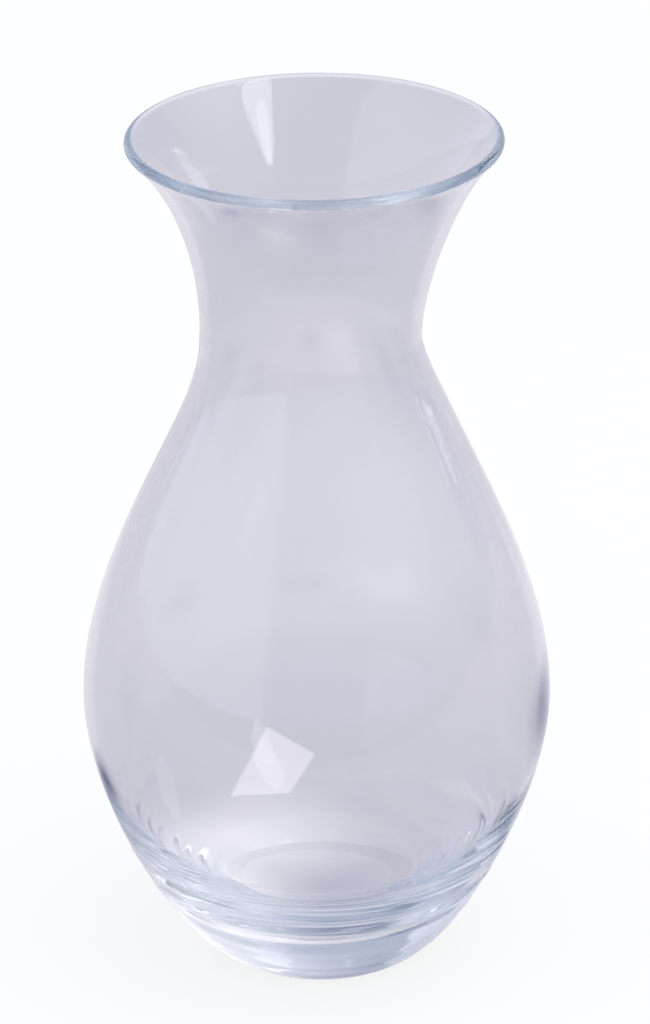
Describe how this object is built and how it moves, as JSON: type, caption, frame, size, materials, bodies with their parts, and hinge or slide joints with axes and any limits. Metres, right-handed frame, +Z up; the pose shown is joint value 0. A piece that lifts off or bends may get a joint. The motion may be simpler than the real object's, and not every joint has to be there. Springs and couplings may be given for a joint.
{
  "type": "glass flower vase",
  "caption": "Clear glass flower vase: pear-shaped body on a thick solid base, narrow neck, trumpet-flared mouth with a round fire-polished lip.",
  "frame": {"origin": "centre of the flat foot, on the surface that the vase stands on", "axes": "+Z up along the axis of the vase, from the foot to the mouth; the vase is round, so X and Y lie in any direction across it"},
  "size_m": [0.135, 0.135, 0.25],
  "materials": {
    "clear_glass": "clear, smooth and glossy"
  },
  "bodies": {
    "root": {"glass_vase": "clear_glass"}
  },
  "joints": []
}
